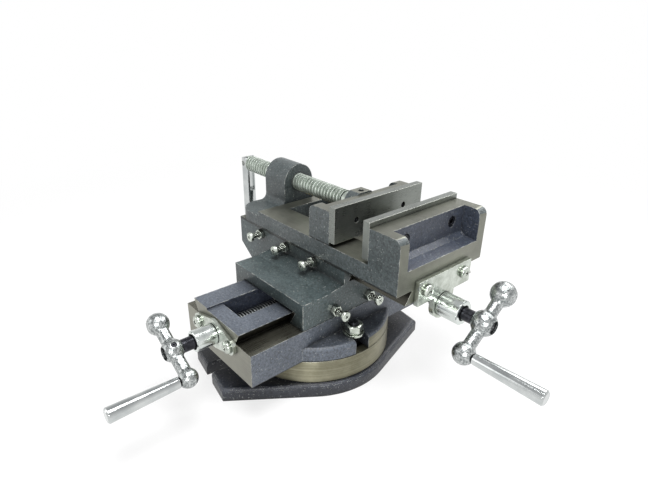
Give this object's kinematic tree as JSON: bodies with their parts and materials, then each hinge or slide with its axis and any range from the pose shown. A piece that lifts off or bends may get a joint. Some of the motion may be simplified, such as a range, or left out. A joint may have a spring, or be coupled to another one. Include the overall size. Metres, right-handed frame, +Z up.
{
  "type": "cross slide vise",
  "caption": "Drill press vise on two crossed dovetail slides with ball cranks, standing on a swivel base with slotted ears; a folding handle turns its clamping screw.",
  "frame": {"origin": "on the swivel axis, at the underside of the base", "axes": "+Z up along the swivel axis; +X along the vise, from the clamping screw towards the fixed jaw and the right-hand crank; +Y along the lower slide, away from the front crank"},
  "size_m": [0.3595, 0.2808, 0.1424],
  "materials": {
    "base_casting": "dark grey paint over cast iron, with a bare turned boss",
    "slide_casting": "grey paint over cast iron, with bare machined ways and ends",
    "saddle_casting": "grey-green paint over cast iron, with bare machined faces",
    "vise_casting": "grey paint over cast iron, with bare machined rails and sides",
    "jaw_casting": "grey paint over cast iron, with bare machined ends and top",
    "ground_steel": "surface ground steel",
    "zinc_plate": "bright zinc plated steel",
    "chrome_plate": "chrome plate over a cast, slightly dimpled surface",
    "black_steel": "blackened steel",
    "bronze": "cast bronze, as machined"
  },
  "bodies": {
    "base": {"swivel_base": "base_casting"},
    "lower_slide": {"bottom_slide": "slide_casting", "swivel_t_bolts": "black_steel", "swivel_washers": "zinc_plate", "swivel_nuts": "zinc_plate", "front_bearing": "zinc_plate", "front_bearing_screws": "zinc_plate"},
    "front_feed": {"bottom_lead_screw": "black_steel", "front_collar": "zinc_plate", "front_crank": "chrome_plate", "front_crank_set_screw": "black_steel", "front_grip": "chrome_plate"},
    "cross_saddle": {"saddle": "saddle_casting", "lower_gib": "ground_steel", "lower_gib_screws": "zinc_plate", "lower_gib_lock_nuts": "zinc_plate", "upper_gib": "ground_steel", "upper_gib_screws": "zinc_plate", "upper_gib_lock_nuts": "zinc_plate", "bottom_feed_nut": "bronze", "bottom_feed_nut_screw": "black_steel", "top_feed_nut": "bronze", "top_feed_nut_screws": "black_steel"},
    "vise": {"vise_body": "vise_casting", "fixed_jaw_plate": "ground_steel", "fixed_jaw_screws": "black_steel", "right_bearing": "zinc_plate", "right_bearing_screws": "zinc_plate"},
    "right_feed": {"top_lead_screw": "black_steel", "right_dial": "zinc_plate", "right_crank": "chrome_plate", "right_crank_set_screw": "black_steel", "right_grip": "chrome_plate"},
    "jaw": {"moving_jaw": "jaw_casting", "moving_jaw_plate": "ground_steel", "moving_jaw_screws": "black_steel", "jaw_keeper": "ground_steel", "jaw_keeper_screws": "black_steel", "jaw_lock_screw": "black_steel"},
    "clamp_screw": {"vise_screw": "zinc_plate"},
    "handle": {"vise_handle": "chrome_plate", "vise_handle_pin": "ground_steel"}
  },
  "joints": [
    {"name": "swivel", "type": "hinge", "parent": "base", "child": "lower_slide", "pos_m": [0, 0, 0.0307], "axis": [0, 0, 1], "continuous": true},
    {"name": "saddle_slide", "type": "slide", "parent": "lower_slide", "child": "cross_saddle", "axis": [0, 1, 0], "range_m": [-0.045, 0.045]},
    {"name": "front_crank_turn", "type": "hinge", "parent": "lower_slide", "child": "front_feed", "pos_m": [0, -0.1, 0.0537], "axis": [0, 1, 0], "range_deg": [-6500, 6500]},
    {"name": "vise_slide", "type": "slide", "parent": "cross_saddle", "child": "vise", "axis": [1, 0, 0], "range_m": [-0.045, 0.045]},
    {"name": "right_crank_turn", "type": "hinge", "parent": "vise", "child": "right_feed", "pos_m": [0.1, 0.0427, 0.0733], "axis": [1, 0, 0], "range_deg": [-6500, 6500]},
    {"name": "jaw_slide", "type": "slide", "parent": "vise", "child": "jaw", "axis": [1, 0, 0], "range_m": [-0.067, 0.029]},
    {"name": "vise_screw_turn", "type": "hinge", "parent": "jaw", "child": "clamp_screw", "pos_m": [0, 0.0427, 0.1259], "axis": [1, 0, 0], "range_deg": [-6040, 2620]},
    {"name": "handle_fold", "type": "hinge", "parent": "clamp_screw", "child": "handle", "pos_m": [-0.1575, 0.0427, 0.1259], "axis": [0, 1, 0], "range_deg": [0, 180]}
  ],
  "couplings": [
    {"joint": "front_crank_turn", "follows": "saddle_slide", "rad_per_m": -2513.3},
    {"joint": "right_crank_turn", "follows": "vise_slide", "rad_per_m": 2513.3},
    {"joint": "vise_screw_turn", "follows": "jaw_slide", "rad_per_m": 1570.8}
  ]
}
